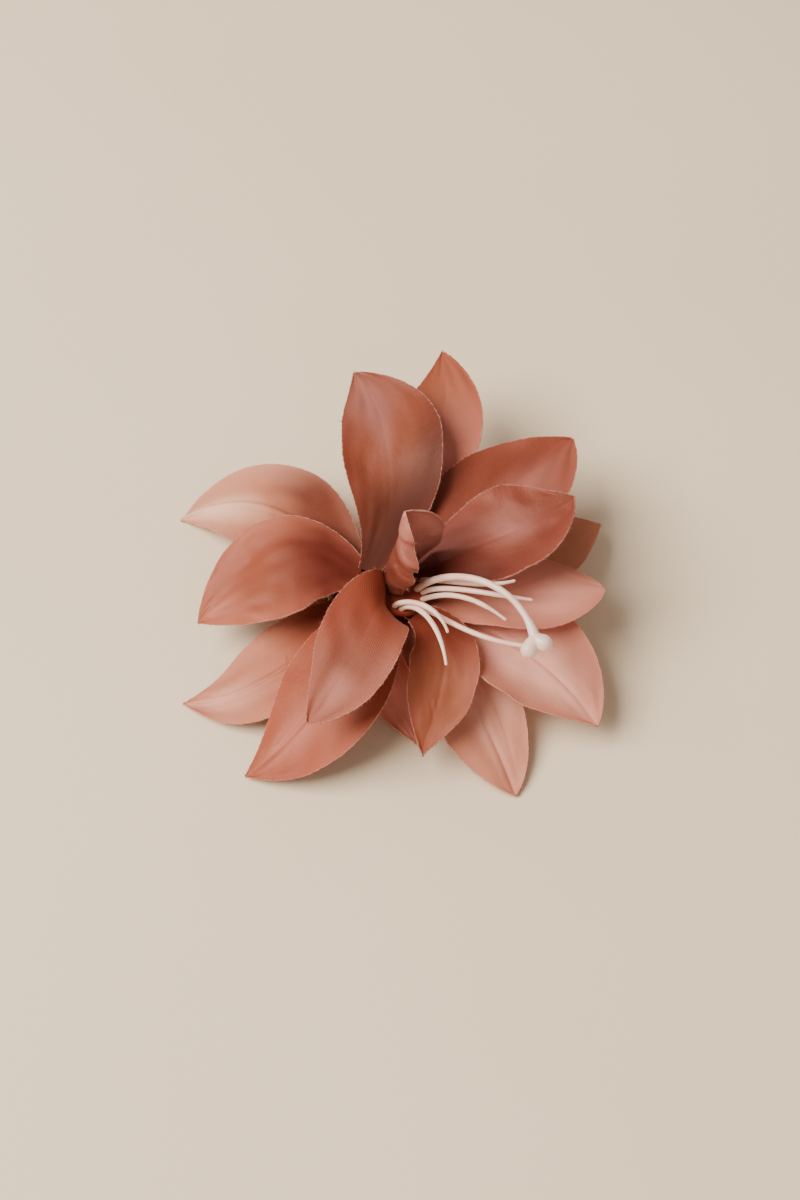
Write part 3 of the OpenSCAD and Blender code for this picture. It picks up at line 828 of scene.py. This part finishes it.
def stigma_mesh():
    """Style with a flared end that carries three round lobes, remeshed to one skin."""
    s = np.linspace(0, 1, 80)
    path = cubic(np.array(STYLE, float), s[:, None])
    radii = STYLE_RADIUS - 0.12 * s + 0.5 * smooth(s, 0.88, 1.0)
    style = tube("style", path, radii, plastic, 28)
    parts = [style]
    for lobe in LOBES:
        for along, size in LOBE_BALLS:
            bm = bmesh.new()
            bmesh.ops.create_icosphere(bm, subdivisions=4, radius=size * MM)
            mesh = bpy.data.meshes.new("lobe")
            bm.to_mesh(mesh)
            bm.free()
            ball = bpy.data.objects.new("lobe", mesh)
            bpy.context.scene.collection.objects.link(ball)
            centre = np.array(STIGMA) + np.array(lobe) * along
            ball.data.transform(Matrix.Translation(Vector(centre * MM)))
            parts.append(ball)
    with bpy.context.temp_override(active_object=style, selected_objects=parts,
                                   selected_editable_objects=parts):
        bpy.ops.object.join()
    remesh = style.modifiers.new("skin", "REMESH")
    remesh.mode = "VOXEL"
    remesh.voxel_size = SKIN_CELL
    soften = style.modifiers.new("soften", "SMOOTH")
    soften.iterations = 8
    soften.factor = 0.6
    deps = bpy.context.evaluated_depsgraph_get()
    mesh = bpy.data.meshes.new_from_object(style.evaluated_get(deps))
    style.modifiers.clear()
    old = style.data
    style.data = mesh
    bpy.data.meshes.remove(old)
    mesh.materials.clear()
    mesh.materials.append(plastic)
    mesh.polygons.foreach_set("use_smooth", [True] * len(mesh.polygons))
    style.name = "pistil_with_stigma"
    return style


pistil = stigma_mesh()
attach(pistil, "flower")
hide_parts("pistil")


# ------------------------------------------------------------------ calyx, felt and clip

CALYX_TOP = (0.0195, 0.0215)   # heights between which the calyx turns from its near black, partly painted shade, to the reddish brown painted as the lit throat
FELT_HAIRS = 420
SPRING_TURNS = 4.5
SPRING_RADIUS = 1.2            # of the coil, mm
PIN_AXIS = (14, 3)             # X and Z of the hinge pin, mm, as in the CAD
WIRE_RADIUS = 0.25


def calyx_plastic_and_painted_shade():
    """Calyx: dark plastic made almost black as painted shade, so it reads as the shadowed hollow between
    the petal feet; its top turns reddish brown, painted as the lit throat of the flower.
    """
    m = Tree("calyx_plastic")
    where = m.where()
    tint = m.noise(where, 260, 4, 0.6)
    painted_lit_top = m.ramp(m.parts(where)["Z"], *CALYX_TOP)
    # near black: painted shade of the hollow between the petal feet
    body = m.mix(tint, srgb(14, 5, 4), srgb(8, 4, 3))
    # top: reddish brown painted as the lit throat of the flower
    m.put(m.bsdf.inputs["Base Color"], m.mix(painted_lit_top, body, srgb(134, 60, 44)))
    m.put(m.bsdf.inputs["Roughness"], m.plus(m.times(m.noise(where, 900, 2), 0.2), 0.6))
    m.bsdf.inputs["Specular IOR Level"].default_value = 0.05
    m.put(m.bsdf.inputs["Normal"], m.bump(m.noise(where, 520, 3), 0.00012, 0.6))
    return m.mat


def plated_steel(name, colour, rough, brushed):
    """Nickel-plated steel with fine scratches along X and a few dull spots."""
    m = Tree(name)
    where = m.where()
    grain = m.noise(m.stretch(where, (60, 900, 900)), 3.0, 3, 0.6)
    spots = m.noise(where, 220, 4, 0.6)
    dull = m.ramp(spots, 0.52, 0.75)
    m.put(m.bsdf.inputs["Base Color"], m.mix(m.times(dull, 0.5), colour, darker(colour, 0.72)))
    m.put(m.bsdf.inputs["Roughness"], m.plus(m.times(grain, brushed), m.plus(m.times(dull, 0.15), rough)))
    m.bsdf.inputs["Metallic"].default_value = 1.0
    m.put(m.bsdf.inputs["Normal"], m.bump(grain, 0.00003, 0.5))
    return m.mat


def felt_wool():
    m = Tree("felt_wool")
    where = m.where()
    clump = m.noise(where, 420, 4, 0.65)
    hair = m.noise(m.stretch(where, (1, 3.5, 1), 25), 1900, 3, 0.7)
    colour = m.mix(clump, srgb(204, 164, 144), srgb(176, 132, 112))
    m.put(m.bsdf.inputs["Base Color"], m.mix(m.times(hair, 0.4), colour, srgb(226, 196, 180)))
    m.put(m.bsdf.inputs["Roughness"], m.plus(m.times(hair, 0.1), 0.85))
    m.bsdf.inputs["Sheen Weight"].default_value = 0.6
    m.bsdf.inputs["Sheen Roughness"].default_value = 0.6
    n1 = m.bump(clump, 0.0004, 0.7)
    m.put(m.bsdf.inputs["Normal"], m.bump(hair, 0.0002, 0.9, n1))
    return m.mat


def softened(name, node, mat, width):
    """A copy of a CAD solid with its sharp edges broken."""
    bm = bmesh.new()
    bm.from_mesh(nodes[node].data)
    bmesh.ops.remove_doubles(bm, verts=bm.verts, dist=1e-7)
    bmesh.ops.dissolve_limit(bm, angle_limit=radians(0.5), verts=bm.verts, edges=bm.edges)
    sharp = [e for e in bm.edges if len(e.link_faces) == 2 and e.calc_face_angle(0) > radians(30)]
    bmesh.ops.bevel(bm, geom=sharp, offset=width, segments=2, profile=0.5,
                    affect="EDGES", clamp_overlap=True)
    bmesh.ops.triangulate(bm, faces=bm.faces)
    mesh = bpy.data.meshes.new(name)
    bm.to_mesh(mesh)
    bm.free()
    mesh.materials.clear()
    mesh.materials.append(mat)
    obj = bpy.data.objects.new(name, mesh)
    bpy.context.scene.collection.objects.link(obj)
    return obj


def felt_pad(mat):
    """Cut felt: a soft-edged disc with an uneven face, and loose fibres round its edge."""
    rng = np.random.default_rng(FELT_SEED)
    low, high = (np.array(c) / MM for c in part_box("felt_disc"))
    radius = (high[0] - low[0]) / 2
    rings, spokes = 30, 180
    ang = np.linspace(0, 2 * pi, spokes, endpoint=False)
    out = radius - 0.15 + 0.12 * sum(np.sin(k * ang + rng.uniform(0, 6)) for k in (3, 5, 9, 14)) / 2
    verts = []
    for face, z in ((1, high[2] - 0.06), (-1, low[2] + 0.06)):
        for k in range(1, rings + 1):
            f = k / rings
            edge = smooth(f, 0.94, 1.0) * 0.28
            z_here = z - face * edge + 0.025 * rng.normal(size=spokes)
            r = out * f
            verts.append(np.stack([r * np.cos(ang), r * np.sin(ang), z_here + 0 * ang], -1))
    centre = [np.array([[0, 0, high[2] - 0.06]]), np.array([[0, 0, low[2] + 0.06]])]
    verts = np.concatenate(verts + centre)

    def ring(face, k, j):
        return (face * rings + k) * spokes + j % spokes

    faces = []
    for j in range(spokes):
        for k in range(rings - 1):
            faces.append((ring(0, k, j), ring(0, k + 1, j), ring(0, k + 1, j + 1), ring(0, k, j + 1)))
            faces.append((ring(1, k, j), ring(1, k, j + 1), ring(1, k + 1, j + 1), ring(1, k + 1, j)))
        k = rings - 1
        faces.append((ring(0, k, j), ring(1, k, j), ring(1, k, j + 1), ring(0, k, j + 1)))
        faces.append((2 * rings * spokes, ring(0, 0, j), ring(0, 0, j + 1)))
        faces.append((2 * rings * spokes + 1, ring(1, 0, j + 1), ring(1, 0, j)))
    pad = add_mesh("felt_pad", verts * MM, faces, mat)
    hairs, tris = [], []
    for _ in range(FELT_HAIRS):
        a = rng.uniform(0, 2 * pi)
        z = rng.uniform(low[2] + 0.25, high[2] - 0.25)
        base = np.array([(radius - 0.25) * cos(a), (radius - 0.25) * sin(a), z])
        way = unit(np.array([cos(a), sin(a), 0]) + rng.normal(0, 0.7, 3))
        tip = base + way * rng.uniform(0.3, 0.8)
        tip[2] = np.clip(tip[2], low[2] + 0.05, high[2] - 0.05)
        wide = 0.02 * unit(np.cross(way, [0, 0, 1.0]) + 1e-5)
        k = len(hairs)
        hairs += [base + wide, base - wide, base + np.array([0, 0, 0.03]), tip]
        tris += [(k, k + 1, k + 3), (k + 1, k + 2, k + 3), (k + 2, k, k + 3), (k, k + 2, k + 1)]
    return pad, add_mesh("felt_fuzz", np.array(hairs) * MM, tris, mat)


bare_steel = plated_steel("clip_steel", (0.74, 0.74, 0.75), 0.14, 0.12)
for node in ("upper_jaw", "lower_jaw"):
    jaw = softened("plated_" + node, node, bare_steel, width=0.09 * MM)
    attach(jaw, "lower_jaw" if node == "lower_jaw" else "flower")
    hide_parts(node)

pin_steel = plated_steel("pin_steel", (0.58, 0.58, 0.60), 0.28, 0.2)
pin = softened("turned_pin", "hinge_pin", pin_steel, width=0.1 * MM)
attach(pin, "flower")
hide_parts("hinge_pin")

calyx = softened("moulded_calyx", "calyx", calyx_plastic_and_painted_shade(), width=0.25 * MM)
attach(calyx, "flower")
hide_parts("calyx")

pad, fuzz = felt_pad(felt_wool())
for piece in (pad, fuzz):
    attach(piece, "flower")
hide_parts("felt_disc")


def spring_path():
    """Four and a half turns round the pin, with a leg at each end."""
    steps, pitch = 48, 0.58
    a = np.linspace(0, SPRING_TURNS * 2 * pi + pi / 8, int(SPRING_TURNS * steps) + 3) + pi / 2
    y = pitch * ((a - pi / 2) / (2 * pi) - SPRING_TURNS / 2)
    x, z = PIN_AXIS[0] + SPRING_RADIUS * np.cos(a), PIN_AXIS[1] + SPRING_RADIUS * np.sin(a)
    coil = np.stack([x, y, z], -1)
    # each leg runs back along its jaw
    upper, lower = coil[0] + [-6.5, -0.1, 0.4], coil[-1] + [-6.5, 0.1, -0.3]
    f = np.linspace(0, 1, 14)[:, None]
    return np.concatenate([upper + (coil[0] - upper) * f[:-1], coil, coil[-1] + (lower - coil[-1]) * f[1:]])


wire = spring_path()
spring_steel = plated_steel("spring_steel", (0.52, 0.52, 0.54), 0.3, 0.2)
spring = tube("coiled_spring", wire, np.full(len(wire), WIRE_RADIUS), spring_steel, 12)
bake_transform(spring)
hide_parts("hinge_spring")


# ------------------------------------------------------------------ floor

def floor():
    m = Tree("floor_paper")
    where = m.where()
    paper = m.mix(m.noise(where, 9, 3), srgb(234, 211, 179), srgb(225, 201, 167))
    m.put(m.bsdf.inputs["Base Color"], paper)
    m.put(m.bsdf.inputs["Roughness"], 0.85)
    m.put(m.bsdf.inputs["Normal"], m.bump(m.noise(where, 900, 3), 0.0002, 0.3))
    half, z = 1.5, -0.0003
    corners = [(-half, -half, z), (half, -half, z), (half, half, z), (-half, half, z)]
    add_mesh("floor", corners, [(0, 1, 2, 3)], m.mat, False)


floor()
